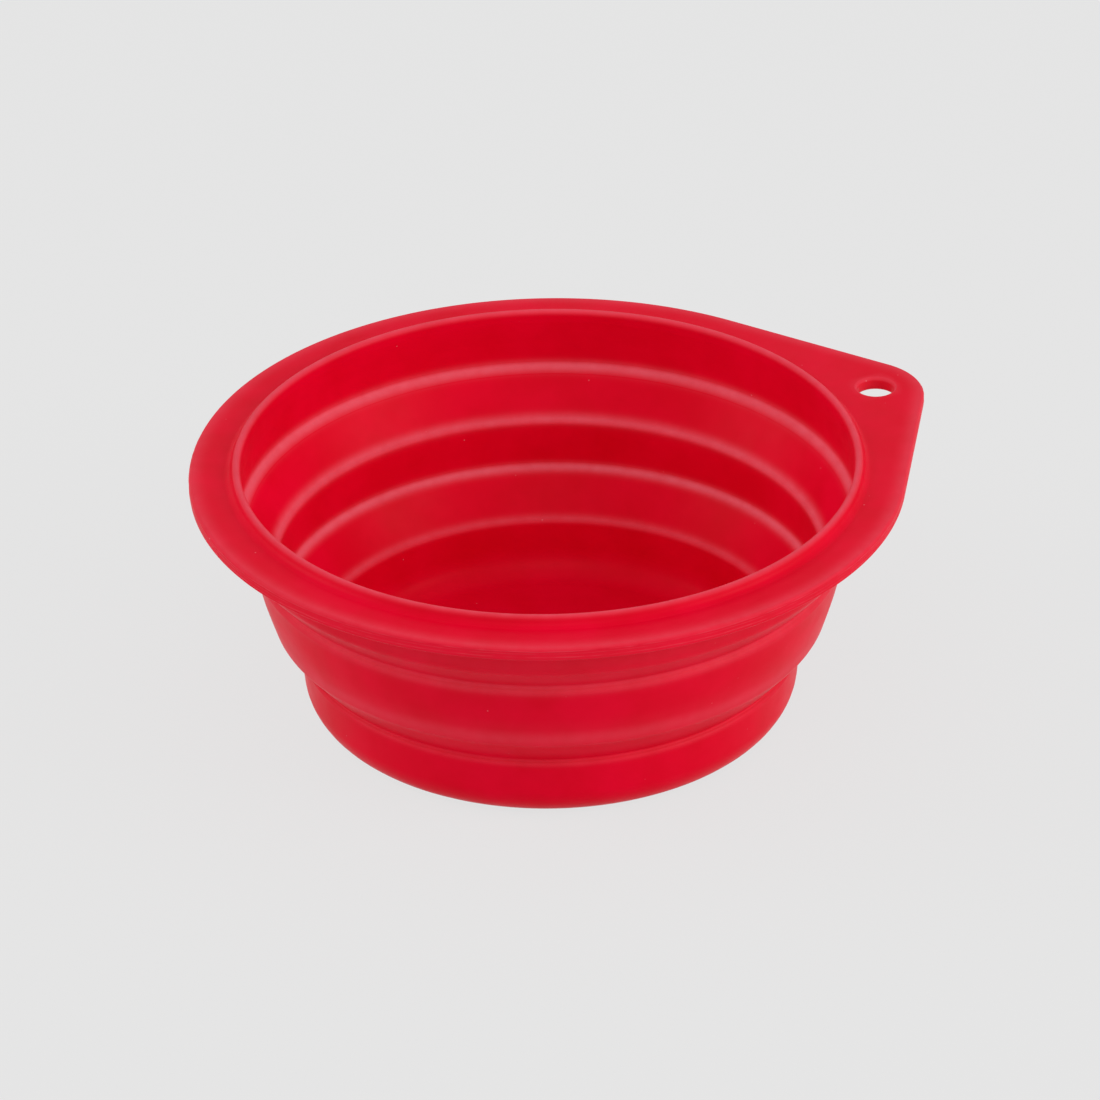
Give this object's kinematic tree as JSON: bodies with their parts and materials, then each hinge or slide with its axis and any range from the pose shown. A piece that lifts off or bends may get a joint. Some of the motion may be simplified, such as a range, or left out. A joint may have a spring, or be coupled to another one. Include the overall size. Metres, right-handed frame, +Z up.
{
  "type": "collapsible silicone bowl",
  "caption": "Collapsible bowl in red moulded silicone: stepped wall of stiff bands and folding webs, flat rim with a raised lip and a hanging tab.",
  "frame": {"origin": "centre of the flat underside, on the bowl's axis", "axes": "+Z up along the bowl's axis, +X out through the hanging tab"},
  "size_m": [0.1516, 0.14, 0.0537],
  "materials": {
    "silicone": "satin matte, as moulded"
  },
  "bodies": {
    "base": {"floor_disc": "silicone", "base_wall": "silicone", "fold_rib_4": "silicone"},
    "middle": {"lower_web": "silicone", "fold_rib_3": "silicone", "middle_wall": "silicone", "fold_rib_2": "silicone"},
    "rim": {"upper_web": "silicone", "fold_rib_1": "silicone", "upper_wall": "silicone", "rim_flange": "silicone", "hang_tab": "silicone", "mouth_lip": "silicone"}
  },
  "joints": [
    {"name": "lower_collapse", "type": "slide", "parent": "base", "child": "middle", "axis": [0, 0, -1], "range_m": [0, 0.017], "deforming": ["lower_web"]},
    {"name": "upper_collapse", "type": "slide", "parent": "middle", "child": "rim", "axis": [0, 0, -1], "range_m": [0, 0.0177], "deforming": ["upper_web"]}
  ]
}
